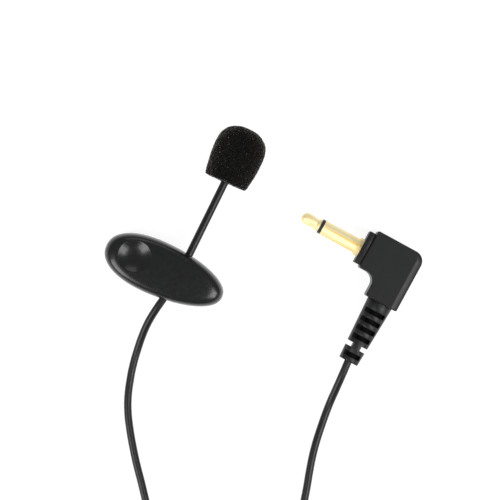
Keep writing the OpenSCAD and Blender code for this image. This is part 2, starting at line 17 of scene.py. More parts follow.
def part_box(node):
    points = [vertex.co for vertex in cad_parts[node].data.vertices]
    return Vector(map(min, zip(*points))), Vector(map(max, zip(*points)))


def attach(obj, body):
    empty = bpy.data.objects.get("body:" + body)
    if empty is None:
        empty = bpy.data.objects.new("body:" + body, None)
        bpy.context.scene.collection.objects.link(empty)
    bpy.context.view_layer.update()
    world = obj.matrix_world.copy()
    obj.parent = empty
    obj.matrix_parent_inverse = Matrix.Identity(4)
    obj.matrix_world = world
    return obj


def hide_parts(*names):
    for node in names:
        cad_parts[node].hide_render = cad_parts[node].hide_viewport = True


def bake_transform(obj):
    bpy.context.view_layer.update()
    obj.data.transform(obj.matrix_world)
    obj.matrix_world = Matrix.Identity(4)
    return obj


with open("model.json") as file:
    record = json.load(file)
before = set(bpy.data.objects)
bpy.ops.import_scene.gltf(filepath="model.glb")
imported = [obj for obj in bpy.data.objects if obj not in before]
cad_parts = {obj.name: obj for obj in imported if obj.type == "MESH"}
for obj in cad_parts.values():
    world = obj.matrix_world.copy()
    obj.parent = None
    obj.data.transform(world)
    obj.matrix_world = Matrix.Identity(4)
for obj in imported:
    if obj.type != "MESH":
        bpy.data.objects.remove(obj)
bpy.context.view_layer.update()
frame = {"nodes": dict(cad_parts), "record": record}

MM = 0.001

# ---------- places and sizes, in millimetres ----------

# Camera: straight above the table, turned about the vertical
CAMERA_AT = (16.0, 12.6, 450.0)
CAMERA_TURN = math.radians(24.3)
VIEW_WIDTH = 116.8
SENSOR = 36.0

# Studio: softboxes are (name, direction, distance, size, radiance), in metres
WORLD_STRENGTH = 0.36
FLOOR_HALF = 1600.0
FLOOR_Z = -0.02
FLOOR_GLOW = 0.84
SOFTBOXES = [
    ("softbox_right", (0.66, -0.07, 0.76), 0.8, (0.36, 0.6), 6.0),
    ("softbox_left", (-0.46, -0.66, 0.63), 0.8, (0.36, 0.6), 6.0),
    ("softbox_back", (-0.28, 0.72, 0.66), 0.9, (0.5, 0.35), 1.2)]

# Cable
CABLE_R = 0.9
CABLE_D = 2 * CABLE_R
CORD_Z = CABLE_R

# Head and stem
STEM_END = Vector((3.5, 1.0, 6.05))
STEM_START = Vector((4.35, 26.3, 6.05))

# Windscreen
FOAM_MOUTH_R = 5.2
FOAM_BELLY = 8.0
FOAM_NOSE = 2.3
FOAM_BORE_R = 3.78
FOAM_BORE_LEN = 8.9
FOAM_STEP = 0.1
FOAM_CELL = 0.46
PIT_DEPTH = 0.24
SWELL_SIZE = 1.9
SWELL_DEPTH = 0.1
FUZZ_SIZE = 0.27
FUZZ_DEPTH = 0.2
# The skin first moves out by this much, so that its unevenness stays about the true size
SKIN_OUT = 0.06

# Clip
CLIP_LEN = 29.3
CLIP_W = 12.4
CLIP_TAPER = 0.12
EGG_SQUARE = 2.2
EGG_SIDES = 384
COARSE_SIDES = 96
OUTSIDE_RINGS = 96
RIM_Z = 4.8
SHELL_H = 5.4
CROWNING = 0.1
DOME_SQUARE = 14
DOME_RISE = 2.6
CROWN_Z = RIM_Z + SHELL_H
WALL = 1.2
PLATE_T = 1.8
PLATE_INSET = 0.35
DIMPLE_X = -7.8
DIMPLE_Y = 0.6
DIMPLE_R = 3.7
DIMPLE_DEPTH = 0.9
DIMPLE_DROP = 0.3
DIMPLE_REACH = DIMPLE_R + 1.0
DIMPLE_CREASE = 0.08
PAD_Z = 7.0
HINGE = Vector((-1.5, 0.0, 4.4))
HINGE_REACH = Vector((0, 5, 0))
EAR_R = 1.35
EAR_T = 1.2
INNER_EAR_Y = 2.9
OUTER_EAR_Y = 4.3
PIN_R = 0.75
PIN_PLAY = 0.05
JAW_X = 6.5
JAW_END = 13.45
JAW_W = 6.2
TOOTH_H = 0.4
TOOTH_PITCH = 1.4
CHANNEL_GAP = 0.07

# The notches for the cable: (middle along X, half width) on the head's side and on the other side
NOTCH_H = 2.45
UPPER_NOTCH = (3.67, 1.2)
LOWER_NOTCH = (3.0, 1.9)

# Plug: its own frame has +Y along the cable into the plug and -X towards the tip of its pin
PLUG_AT = (47.3, -1.5, 4.0)
PLUG_TURN = math.radians(-4.3)
PIN_Y = 24.4
FACE_X = -10.0
FRONT_X = -8.4
LEG_HALF = 4.025
BODY_T = 8.0
BODY_BELOW = 4.15
BODY_ABOVE = 5.35
BACK_CORNER_R = 2.5
INNER_CORNER_R = 2.4
SMALL_CORNER_R = 0.4
NOSE_BELOW = 3.6
NOSE_ABOVE = 4.4
NOSE_HALF = 3.4
CORE_HALF = 3.0
CORE_END = 1.5
POCKET_START = 3.0
# The room for the wires: its two ends along X, and half its thickness
WIRE_ROOM = (-1.2, 0.9, 1.0)
CABLE_INSERT = 4.0
RELIEF_LEN = 15.3
RELIEF_END_R = 2.35
RELIEF_ROOT_R = 3.1
SLOTS = 6
SLOT_W = 1.13
SLOT_FIRST = 1.1
SLOT_PITCH = 2.19
# Which slot is open at both sides instead of above and below
SIDE_SLOT = 1
# A reach well past the plug's surface, for cutters
PAST = 6.0

# Stored cable
COIL_AT = (43.0, -62.0)
COIL_START = -135.0
LAYERS = 4
LAYER_TURNS = 3.6
COIL_R = 9.0
COIL_OUTER_R = COIL_R + LAYER_TURNS * CABLE_R
COIL_INNER_R = COIL_R - LAYER_TURNS * CABLE_R
COIL_FIRST_Z = 0.4 + CABLE_R

# The free cable's route from the clip to the coil, and from the coil to the plug
ROUTE_TO_COIL = [
    (3.5, 1, 6.05), (3.1, -2.5, 6), (2.4, -6, 5.8), (1.8, -9.2, 5.2), (1.4, -12.5, 4),
    (1.4, -16, 2.6), (1.7, -19.5, 1.6), (2.2, -23, 1.1), (3, -26.5, CORD_Z), (4.1, -30.1, CORD_Z),
    (5.6, -33.5, CORD_Z), (7.6, -36.9, CORD_Z), (9.9, -40.3, CORD_Z), (12.4, -43.7, CORD_Z),
    (15.2, -47.2, CORD_Z), (18, -50.8, CORD_Z), (21.2, -54.8, CORD_Z), (24.4, -58.8, CORD_Z),
    (27.6, -62.9, CORD_Z), (30.9, -66.9, 1.1), (34.4, -70.6, 1.3)]
ROUTE_TO_PLUG = [
    (55, -60.1, 6.7), (54.6, -56.6, 6), (54.3, -53.1, 4.4), (54, -49.6, 2.6), (53.6, -46.1, 1.3),
    (53.1, -42.6, CORD_Z), (52.4, -39.1, CORD_Z), (51.6, -35.6, CORD_Z), (50.8, -32.2, CORD_Z),
    (49.9, -28.8, CORD_Z), (49.1, -25.4, CORD_Z), (48.5, -22, CORD_Z), (48.1, -18.6, CORD_Z),
    (47.8, -15.2, CORD_Z), (47.6, -11.9, 1.3), (47.5, -8.6, 2.4), (47.4, -5.2, 3.5),
    (47.3, -1.5, 4)]


# ---------- helpers ----------

def link(name, data):
    made = bpy.data.objects.new(name, data)
    bpy.context.scene.collection.objects.link(made)
    return made


def smoothstep(low, high, value):
    share = min(1.0, max(0.0, (value - low) / (high - low)))
    return share * share * (3 - 2 * share)


def mesh_piece(name, points, faces, smooth=True):
    """An object from points in millimetres and faces, with its normals turned outwards."""
    data = bpy.data.meshes.new(name)
    data.from_pydata([tuple(c * MM for c in p) for p in points], [], faces)
    made = bmesh.new()
    made.from_mesh(data)
    bmesh.ops.recalc_face_normals(made, faces=made.faces)
    made.to_mesh(data)
    made.free()
    data.polygons.foreach_set("use_smooth", [smooth] * len(data.polygons))
    return link(name, data)


def stacked_rings(rings, closed=False):
    """Points and faces that join rings of equal count; open ends are closed with a face."""
    count = len(rings[0])
    points = [p for ring in rings for p in ring]
    faces = []
    spans = len(rings) if closed else len(rings) - 1
    for i in range(spans):
        a = i * count
        b = (i + 1) % len(rings) * count
        faces += [(a + k, a + (k + 1) % count, b + (k + 1) % count, b + k) for k in range(count)]
    if not closed:
        faces.append(tuple(range(count)))
        faces.append(tuple(range((len(rings) - 1) * count, len(rings) * count)))
    return points, faces


def turned(profile, place, count=96, closed=True):
    """Points and faces of a profile of (radius, height) turned round place's Z axis."""
    angles = [2 * math.pi * k / count for k in range(count)]
    rings = [[place @ Vector((r * math.cos(a), r * math.sin(a), h)) for a in angles]
             for r, h in profile]
    return stacked_rings(rings, closed)


def box_piece(low, high, place=Matrix.Identity(4)):
    """A plain box, for joining to or cutting from another piece."""
    rings = [[place @ Vector((x, y, z)) for x, y in
              ((low[0], low[1]), (high[0], low[1]), (high[0], high[1]), (low[0], high[1]))]
             for z in (low[2], high[2])]
    return mesh_piece("box", *stacked_rings(rings), smooth=False)


def prism_piece(outline, low_y, high_y):
    """A prism along Y with an outline of (x, z)."""
    rings = [[(x, y, z) for x, z in outline] for y in (low_y, high_y)]
    return mesh_piece("prism", *stacked_rings(rings), smooth=False)


def rod_piece(start, end, radius, count=48):
    start, end = Vector(start), Vector(end)
    turn = (end - start).to_track_quat("Z", "Y").to_matrix().to_4x4()
    place = Matrix.Translation(start) @ turn
    length = (end - start).length
    return mesh_piece("rod", *turned([(radius, 0), (radius, length)], place, count, False), smooth=False)


def apply_modifiers(piece):
    bpy.context.view_layer.update()
    seen = piece.evaluated_get(bpy.context.evaluated_depsgraph_get())
    data = bpy.data.meshes.new_from_object(seen)
    piece.modifiers.clear()
    piece.data = data


def combine(piece, others, operation):
    """Joins, cuts or intersects a piece with others, which are then gone."""
    for other in others:
        modifier = piece.modifiers.new("combine", "BOOLEAN")
        modifier.operation = operation
        modifier.solver = "EXACT"
        modifier.object = other
    apply_modifiers(piece)
    for other in others:
        bpy.data.objects.remove(other)
    return piece


def soften(piece, width, segments=3, angle=35):
    """Rounds every edge sharper than angle, and keeps the flat faces flat."""
    bevel = piece.modifiers.new("bevel", "BEVEL")
    bevel.width = width * MM
    bevel.segments = segments
    bevel.limit_method = "ANGLE"
    bevel.angle_limit = math.radians(angle)
    bevel.harden_normals = True
    piece.data.polygons.foreach_set("use_smooth", [True] * len(piece.data.polygons))
    apply_modifiers(piece)


def sharp_edges(piece, angle=30):
    """Smooth shading, with a crease wherever faces meet at more than angle."""
    piece.data.polygons.foreach_set("use_smooth", [True] * len(piece.data.polygons))
    piece.data.set_sharp_from_angle(angle=math.radians(angle))


def hold_numbers(piece, name, numbers):
    """Stores a number at each point of a mesh, for its material to read."""
    attribute = piece.data.attributes.new(name, "FLOAT", "POINT")
    attribute.data.foreach_set("value", numbers)


def finished(piece, name, body, material, replaces=()):
    """Names a piece, gives it its material and hangs it on its body."""
    piece.name = name
    piece.data.name = name
    piece.data.materials.clear()
    piece.data.materials.append(material)
    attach(piece, body)
    if replaces:
        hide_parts(*replaces)
    return piece


# ---------- materials ----------

class Nodes:
    """A short way to build a material's nodes."""

    def __init__(self, name):
        self.material = bpy.data.materials.new(name)
        self.material.use_nodes = True
        self.tree = self.material.node_tree
        self.shader = self.tree.nodes["Principled BSDF"]
        coordinates = self.tree.nodes.new("ShaderNodeTexCoord")
        self.place = coordinates.outputs["Object"]

    def join(self, source, target):
        self.tree.links.new(source, target)

    def attribute(self, name):
        """A number that the mesh holds at each of its points."""
        node = self.tree.nodes.new("ShaderNodeAttribute")
        node.attribute_name = name
        return node.outputs["Fac"]

    def stretched(self, times, turn):
        """The place, squeezed along an axis turned about Z, so that noise there draws streaks."""
        node = self.tree.nodes.new("ShaderNodeMapping")
        node.vector_type = "TEXTURE"
        node.inputs["Rotation"].default_value = (0, 0, turn)
        node.inputs["Scale"].default_value = (times, 1, 1)
        self.join(self.place, node.inputs["Vector"])
        return node.outputs["Vector"]

    def higher(self, first, second):
        """The higher of two numbers."""
        node = self.tree.nodes.new("ShaderNodeMath")
        node.operation = "MAXIMUM"
        self.join(first, node.inputs[0])
        self.join(second, node.inputs[1])
        return node.outputs["Value"]

    def noise(self, size, detail=3.0, rough=0.55, place=None):
        """Noise whose features are about size millimetres across."""
        node = self.tree.nodes.new("ShaderNodeTexNoise")
        node.inputs["Scale"].default_value = 1 / (size * MM)
        node.inputs["Detail"].default_value = detail
        node.inputs["Roughness"].default_value = rough
        self.join(place or self.place, node.inputs["Vector"])
        return node.outputs["Fac"]

    def spread(self, source, low, high, new_low, new_high):
        node = self.tree.nodes.new("ShaderNodeMapRange")
        for name, value in (("From Min", low), ("From Max", high), ("To Min", new_low),
                            ("To Max", new_high)):
            node.inputs[name].default_value = value
        self.join(source, node.inputs["Value"])
        return node.outputs["Result"]

    def mix(self, share, first, second):
        """A colour between two, each a socket or three numbers."""
        node = self.tree.nodes.new("ShaderNodeMix")
        node.data_type = "RGBA"
        self.join(share, node.inputs["Factor"])
        for name, value in (("A", first), ("B", second)):
            target = [s for s in node.inputs if s.name == name and s.type == "RGBA"][0]
            if isinstance(value, bpy.types.NodeSocket):
                self.join(value, target)
            else:
                target.default_value = (*value, 1)
        return [s for s in node.outputs if s.type == "RGBA"][0]

    def bump(self, height, depth, under=None):
        """Bump of a depth in millimetres, over another bump if given."""
        node = self.tree.nodes.new("ShaderNodeBump")
        node.inputs["Distance"].default_value = depth * MM
        node.inputs["Strength"].default_value = 1.0
        self.join(height, node.inputs["Height"])
        if under is not None:
            self.join(under, node.inputs["Normal"])
        return node.outputs["Normal"]


def moulded(name, colour, gloss, tone=0.18, grain=0.12, grain_depth=0.004, painted_slot_shade=None, **constant):
    """Plastic, rubber or metal: drifting tone, uneven gloss and a fine grain on its surface.
    Where the mesh attribute it is given holds 1, as in the bottom of a slot, it is painted black and
    dull as painted shade."""
    made = Nodes(name)
    darker = tuple(c * (1 - tone) for c in colour)
    lighter = tuple(c * (1 + tone) for c in colour)
    drift = made.spread(made.noise(2.6, 4.0), 0.3, 0.7, 0, 1)
    tint = made.mix(drift, darker, lighter)
    # painted shade: where the attribute is 1, in the bottoms of slots, the colour is darkened to
    # near-black
    if painted_slot_shade:
        tint = made.mix(made.attribute(painted_slot_shade), tint, (0.0006, 0.0006, 0.0006))
    made.join(tint, made.shader.inputs["Base Color"])
    dullness = made.spread(made.noise(0.9, 5.0), 0.3, 0.7, gloss - 0.05, gloss + 0.06)
    if painted_slot_shade:
        dullness = made.higher(dullness, made.attribute(painted_slot_shade))
    made.join(dullness, made.shader.inputs["Roughness"])
    made.join(made.bump(made.noise(grain, 2.0), grain_depth), made.shader.inputs["Normal"])
    for socket, value in constant.items():
        made.shader.inputs[socket.replace("_", " ")].default_value = value
    return made.material


def foam_material():
    """Open-cell foam: black in its pits as painted shade, warmer grey on its struts, with a few strands
    painted pale as painted glints.
    """
    made = Nodes("foam")
    # painted shade: the colour is darker in the foam's pits than on its struts
    strut = made.spread(made.attribute("pit"), 0.15, 0.75, 1, 0)
    drift = made.spread(made.noise(1.6, 4.0), 0.35, 0.65, 0, 1)
    base = made.mix(drift, (0.0022, 0.0022, 0.0023), (0.0032, 0.0031, 0.0029))
    light = made.mix(drift, (0.0046, 0.0046, 0.0043), (0.0078, 0.0073, 0.0066))
    body = made.mix(strut, base, light)
    # painted highlight: pale specks mixed into the colour as glints on single strands
    painted_glint = made.spread(made.noise(0.22, 1.0), 0.74, 0.78, 0, 1)
    made.join(made.mix(painted_glint, body, (0.40, 0.38, 0.35)), made.shader.inputs["Base Color"])
    made.join(made.spread(made.noise(0.3), 0.3, 0.7, 0.75, 0.95), made.shader.inputs["Roughness"])
    coarse = made.bump(made.noise(0.22, 3.0, 0.7), 0.03)
    made.join(made.bump(made.noise(0.07, 2.0), 0.02, coarse), made.shader.inputs["Normal"])
    made.shader.inputs["Specular IOR Level"].default_value = 0.05
    made.shader.inputs["Sheen Weight"].default_value = 0.9
    made.shader.inputs["Sheen Roughness"].default_value = 0.29
    made.shader.inputs["Sheen Tint"].default_value = (1.0, 0.93, 0.86, 1)
    return made.material


def gold_material():
    """Satin gold plate with streaks drawn along the plug's pin, rougher in drifting patches."""
    made = Nodes("gold")
    streaks = made.spread(made.noise(0.6, 2.0, place=made.stretched(30, PLUG_TURN)), 0.36, 0.5, 0, 1)
    made.join(made.mix(streaks, (1.0, 0.70, 0.24), (1.0, 0.90, 0.56)),
              made.shader.inputs["Base Color"])
    made.join(made.spread(made.noise(0.8, 4.0), 0.3, 0.7, 0.58, 0.66), made.shader.inputs["Roughness"])
    made.join(made.bump(made.noise(0.12, 2.0), 0.0006), made.shader.inputs["Normal"])
    made.shader.inputs["Metallic"].default_value = 1.0
    return made.material


def cable_material():
    """Glossy extruded jacket with faint unevenness."""
    made = Nodes("cable_jacket")
    drift = made.spread(made.noise(3.0, 3.0), 0.3, 0.7, 0, 1)
    made.join(made.mix(drift, (0.0026, 0.0026, 0.0032), (0.0048, 0.0048, 0.0058)),
              made.shader.inputs["Base Color"])
    made.join(made.spread(made.noise(0.7, 4.0), 0.3, 0.7, 0.3, 0.42), made.shader.inputs["Roughness"])
    made.join(made.bump(made.noise(0.5, 3.0), 0.006), made.shader.inputs["Normal"])
    made.shader.inputs["Specular IOR Level"].default_value = 0.35
    return made.material


LOOKS = {
    "foam": foam_material(),
    "gold": gold_material(),
    "cable_jacket": cable_material(),
    "felt": moulded("felt", (0.012, 0.012, 0.012), 0.9, 0.4, 0.08, 0.02, Sheen_Weight=0.3),
    "black_plastic": moulded("black_plastic", (0.012, 0.012, 0.013), 0.42),
    "white_plastic": moulded("white_plastic", (0.72, 0.69, 0.62), 0.45, 0.05),
    "black_metal": moulded("black_metal", (0.03, 0.03, 0.032), 0.5, 0.2, 0.06, 0.006, Metallic=0.6),
    "can_aluminium": moulded("can_aluminium", (0.72, 0.73, 0.74), 0.3, 0.06, Metallic=1.0),
    "brass": moulded("brass", (0.76, 0.54, 0.22), 0.28, 0.1, Metallic=1.0),
    "board_green": moulded("board_green", (0.03, 0.16, 0.06), 0.35, 0.25),
    "red_wire": moulded("red_wire", (0.45, 0.03, 0.02), 0.35, 0.1),
    "copper": moulded("copper", (0.80, 0.42, 0.24), 0.3, 0.12, Metallic=1.0),
    "black_rubber": moulded("black_rubber", (0.012, 0.012, 0.012), 0.6, 0.2, 0.15, 0.01),
    "clip_plastic": moulded("clip_plastic", (0.0030, 0.0034, 0.0036), 0.25, 0.16, 0.10, 0.0012,
                            Coat_Weight=0.06, Coat_Roughness=0.12, Specular_IOR_Level=0.44),
    "steel": moulded("steel", (0.56, 0.57, 0.58), 0.25, 0.06, Metallic=1.0),
    "inner_mould": moulded("inner_mould", (0.0058, 0.0060, 0.0064), 0.42, 0.2, 0.12, 0.004,
                           Specular_IOR_Level=0.35),
    # plug_rubber paints shade into the bottoms of the strain relief's slots
    "plug_rubber": moulded("plug_rubber", (0.0044, 0.0050, 0.0053), 0.42, 0.14, 0.12, 0.005,
                           painted_slot_shade="painted_slot_shade", Specular_IOR_Level=0.35),
}


# ---------- camera, light and floor ----------

def make_camera():
    data = bpy.data.cameras.new("camera")
    data.sensor_width = SENSOR
    data.lens = SENSOR * CAMERA_AT[2] / VIEW_WIDTH
    camera = link("camera", data)
    camera.location = Vector(CAMERA_AT) * MM
    camera.rotation_euler = (0, 0, CAMERA_TURN)
    bpy.context.scene.camera = camera


def make_softbox(name, towards, distance, size, radiance):
    """A softbox in a direction from the middle of the view, facing it."""
    data = bpy.data.lights.new(name, "AREA")
    data.shape = "RECTANGLE"
    data.size = size[0]
    data.size_y = size[1]
    data.energy = radiance * math.pi * size[0] * size[1]
    lamp = link(name, data)
    direction = Vector(towards).normalized()
    middle = Vector((CAMERA_AT[0], CAMERA_AT[1], 0)) * MM
    lamp.location = middle + direction * distance
    lamp.rotation_euler = direction.to_track_quat("Z", "Y").to_euler()


def make_studio():
    """A white world, the softboxes, and a white table that glows a little, as if overexposed."""
    world = bpy.data.worlds.new("studio")
    world.use_nodes = True
    background = world.node_tree.nodes["Background"]
    background.inputs["Color"].default_value = (1, 1, 1, 1)
    background.inputs["Strength"].default_value = WORLD_STRENGTH
    bpy.context.scene.world = world
    bpy.context.scene.view_settings.view_transform = "Standard"
    for softbox in SOFTBOXES:
        make_softbox(*softbox)
    corners = [(x * FLOOR_HALF, y * FLOOR_HALF, FLOOR_Z)
               for x, y in ((-1, -1), (1, -1), (1, 1), (-1, 1))]
    floor = mesh_piece("floor", corners, [(0, 1, 2, 3)], smooth=False)
    made = Nodes("floor")
    drift = made.spread(made.noise(9.0), 0.3, 0.7, 0, 1)
    made.join(made.mix(drift, (0.26, 0.26, 0.26), (0.27, 0.27, 0.27)),
              made.shader.inputs["Base Color"])
    made.shader.inputs["Roughness"].default_value = 0.7
    made.shader.inputs["Specular IOR Level"].default_value = 0.2
    made.shader.inputs["Emission Color"].default_value = (1, 1, 1, 1)
    made.shader.inputs["Emission Strength"].default_value = FLOOR_GLOW
    floor.data.materials.append(made.material)


# ---------- cable ----------

def coil_points(per_turn=16, rise=0.3):
    """The coil's turns: each layer winds in or out by a cable's width a turn, and each next layer
    lies on the one before, with rise the share of a turn in which the cable climbs."""
    count = round(LAYERS * LAYER_TURNS * per_turn)
    points = []
    for i in range(1, count):
        turns = i / per_turn
        layer = int(turns / LAYER_TURNS)
        part = turns - layer * LAYER_TURNS
        radius = COIL_OUTER_R - CABLE_D * part if layer % 2 == 0 else COIL_INNER_R + CABLE_D * part
        height = sum(smoothstep(-rise / 2, rise / 2, turns - k * LAYER_TURNS)
                     for k in range(1, LAYERS))
        a = math.radians(COIL_START + 360 * turns)
        points.append((COIL_AT[0] + radius * math.cos(a), COIL_AT[1] + radius * math.sin(a),
                       COIL_FIRST_Z + CABLE_D * height))
    return points


def make_cord():
    """The cable from the clip, through the stored coil, to the plug, as one curve."""
    points = ROUTE_TO_COIL + coil_points() + ROUTE_TO_PLUG
    data = bpy.data.curves.new("cable", "CURVE")
    data.dimensions = "3D"
    data.resolution_u = 6
    data.bevel_depth = CABLE_R * MM
    data.bevel_resolution = 5
    data.use_fill_caps = True
    spline = data.splines.new("BEZIER")
    spline.bezier_points.add(len(points) - 1)
    for knot, p in zip(spline.bezier_points, points):
        knot.co = Vector(p) * MM
        knot.handle_left_type = "AUTO"
        knot.handle_right_type = "AUTO"
    return finished(link("cable", data), "cable", "microphone",
                    LOOKS["cable_jacket"], ["cord_to_coil", "cord_coil", "cord_to_plug"])


def make_tie():
    """A rubber band round the coil, with rounded edges."""
    coil_w = COIL_OUTER_R - COIL_INNER_R + CABLE_D
    side_slack = 0.22
    top_slack = 0.12
    half_w = coil_w / 2 + side_slack
    half_h = LAYERS * CABLE_D / 2 + top_slack
    corner = 0.9
    thick = 0.33
    edge = 0.14
    half_band = 1.2
    lift = 0.36
    section = rounded_outline([(0, -half_band, edge), (thick, -half_band, edge),
                               (thick, half_band, edge), (0, half_band, edge)], 3)
    middle = Vector((*COIL_AT, lift + half_h))
    middle_r = (COIL_OUTER_R + COIL_INNER_R) / 2
    turn = Matrix.Rotation(math.radians(-60), 4, "Z")
    place = Matrix.Translation(middle) @ turn
    loop = rounded_outline([(-half_w, -half_h, corner), (half_w, -half_h, corner),
                            (half_w, half_h, corner), (-half_w, half_h, corner)], 8)
    outward = outline_normals(loop)
    rings = [[place @ Vector((middle_r + x + nx * t, s, z + nz * t)) for t, s in section]
             for (x, z), (nx, nz) in zip(loop, outward)]
    band = mesh_piece("tie", *stacked_rings(rings, closed=True))
    return finished(band, "cable_tie", "microphone", LOOKS["black_rubber"],
                    ["cord_tie"])


# ---------- outlines ----------

def rounded_outline(corners, steps):
    """An outline of right-angled corners (x, y, radius), each rounded with an arc of steps."""
    points = []
    for i, (x, y, r) in enumerate(corners):
        here = Vector((x, y))
        back = (Vector(corners[i - 1][:2]) - here).normalized()
        on = (Vector(corners[(i + 1) % len(corners)][:2]) - here).normalized()
        centre = here + r * (back + on)
        for k in range(steps + 1):
            a = math.pi / 2 * k / steps
            points.append(tuple(centre - r * (math.cos(a) * on + math.sin(a) * back)))
    return points


def outline_normals(points):
    """Outward unit normals of a closed outline that runs anticlockwise."""
    normals = []
    for i in range(len(points)):
        before = Vector(points[i - 1])
        after = Vector(points[(i + 1) % len(points)])
        along = (after - before).normalized()
        normals.append((along.y, -along.x))
    return normals


def egg(length, width, count=EGG_SIDES):
    """The clip's outline, wide at -X and narrow at +X."""
    points = []
    for k in range(count):
        a = 2 * math.pi * k / count
        u = math.copysign(abs(math.cos(a)) ** (2 / EGG_SQUARE), math.cos(a))
        v = math.copysign(abs(math.sin(a)) ** (2 / EGG_SQUARE), math.sin(a))
        points.append((length / 2 * u, width / 2 * v * (1 - CLIP_TAPER * u)))
    return points


def distances(points):
    """How far along a line each of its points is."""
    steps = np.linalg.norm(np.diff(np.array(points), axis=0), axis=1)
    return np.concatenate([[0], np.cumsum(steps)])


def evenly(points, count):
    """The same line with a count of points, equal distances apart."""
    line = np.array(points)
    reach = distances(line)
    places = np.linspace(0, reach[-1], count)
    return np.stack([np.interp(places, reach, line[:, i]) for i in range(line.shape[1])], axis=1)


# ---------- windscreen ----------

def foam_profile(radius, length):
    """(radius, height) from the bore's end, out of the mouth and up to the nose."""
    lip = 0.45
    bore = [(0.0, FOAM_BORE_LEN), (FOAM_BORE_R, FOAM_BORE_LEN), (FOAM_BORE_R, lip)]
    inner_lip = [(FOAM_BORE_R + lip * (1 - math.cos(a)), lip * (1 - math.sin(a)))
                 for a in np.linspace(0, math.pi / 2, 6)]
    outer_lip = [(FOAM_MOUTH_R - lip * (1 - math.sin(a)), lip * (1 - math.cos(a)))
                 for a in np.linspace(0, math.pi / 2, 6)]
    side = [(FOAM_MOUTH_R + (radius - FOAM_MOUTH_R) * math.sin(math.pi / 2 * h / FOAM_BELLY), h)
            for h in np.linspace(lip, FOAM_BELLY, 40)]
    top = length - FOAM_BELLY
    nose = [(radius * max(0.0, 1 - math.sin(a) ** FOAM_NOSE) ** (1 / FOAM_NOSE),
             FOAM_BELLY + top * math.sin(a)) for a in np.linspace(0, math.pi / 2, 60)]
    return bore + inner_lip + outer_lip + side[1:] + nose[1:]


def foam_pit(place):
    """How far inside a foam cell a point is, from 0 on a strut to 1 in the middle; this sinks the skin
    and sets the foam's painted shade.
    """
    strut = 0.06
    middle = 0.5
    spots = noise.voronoi(place / FOAM_CELL)[0]
    return smoothstep(strut, middle, spots[1] - spots[0])


def make_windscreen():
    """Moulded open-cell foam: a revolved skin, pitted cell by cell and gently uneven."""
    low, high = (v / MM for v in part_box("foam_windscreen"))
    radius = (high.x - low.x) / 2
    place = (Matrix.Translation(((low.x + high.x) / 2, low.y, (low.z + high.z) / 2))
             @ Matrix.Rotation(math.radians(-90), 4, "X"))
    corners = foam_profile(radius, high.y - low.y)
    profile = evenly(corners, round(distances(corners)[-1] / FOAM_STEP))
    points, faces = turned([tuple(p) for p in profile], place, round(2 * math.pi * radius / FOAM_STEP))
    foam = mesh_piece("windscreen", points, faces)
    weld = bmesh.new()
    weld.from_mesh(foam.data)
    bmesh.ops.remove_doubles(weld, verts=weld.verts, dist=0.002 * MM)
    weld.to_mesh(foam.data)
    weld.free()
    pits = []
    moved = []
    for vertex in foam.data.vertices:
        here = vertex.co / MM
        pit = foam_pit(here)
        swell = 0.5 + 0.5 * noise.fractal(here / SWELL_SIZE, 1.0, 2.0, 3)
        fuzz = 0.5 + 0.5 * noise.noise(here / FUZZ_SIZE)
        sunk = PIT_DEPTH * pit + SWELL_DEPTH * swell + FUZZ_DEPTH * fuzz - SKIN_OUT
        new = here - vertex.normal * sunk
        new.z = max(new.z, 0.0)
        pits.append(pit)
        moved.append(new * MM)
    for vertex, new in zip(foam.data.vertices, moved):
        vertex.co = new
    # the pit numbers also set the foam's painted shade in its pits
    hold_numbers(foam, "pit", pits)
    foam.data.update()
    finished(foam, "windscreen_foam", "windscreen", LOOKS["foam"], ["foam_windscreen"])


# ---------- clip ----------

def dome_z(share, height):
    """Height over the rim of a dome at a share of its outline."""
    side = max(0.0, 1 - share ** DOME_SQUARE) ** (1 / DOME_RISE)
    return height * ((1 - CROWNING) * side + CROWNING * (1 - share * share))


def dome_share(z, height):
    """The share of the outline at a height over the rim, by halving."""
    low, high = 0.0, 1.0
    for _ in range(40):
        middle = (low + high) / 2
        if dome_z(middle, height) > z:
            low = middle
        else:
            high = middle
    return (low + high) / 2


@functools.lru_cache(maxsize=None)
def dome_slice(start, height, count):
    """(share, height) pairs from a height over the rim up to the crown."""
    turns = np.linspace(0, math.pi / 2, count)
    heights = [start + (height - start) * math.sin(t) ** 2 for t in turns]
    return [(dome_share(z, height), z) for z in heights[:-1]] + [(0.0, height)]


def notch_z(x, y):
    """How far the rim is raised where the cable leaves the shell, as a round-topped arch."""
    middle, half = UPPER_NOTCH if y > 0 else LOWER_NOTCH
    off = abs(x - middle) / half
    return NOTCH_H * (1 - off ** 4) ** 0.5 if off < 1 else 0.0


def soft_min(a, b, blend):
    """The lower of two heights, with their crease rounded."""
    mixed = min(1.0, max(0.0, 0.5 + 0.5 * (b - a) / blend))
    return b + (a - b) * mixed - blend * mixed * (1 - mixed)


def bowl_z(off):
    """Height of the thumb dimple's bowl at a distance from its middle."""
    ball_r = (DIMPLE_R ** 2 + DIMPLE_DEPTH ** 2) / (2 * DIMPLE_DEPTH)
    bottom = CROWN_Z - DIMPLE_DROP - DIMPLE_DEPTH
    return bottom + ball_r - math.sqrt(ball_r ** 2 - off ** 2)


def dimpled(x, y, z):
    """The outer surface with the thumb dimple pressed into it."""
    off = math.hypot(x - DIMPLE_X, y - DIMPLE_Y)
    if off > DIMPLE_REACH:
        return z
    return soft_min(z, bowl_z(off), DIMPLE_CREASE)


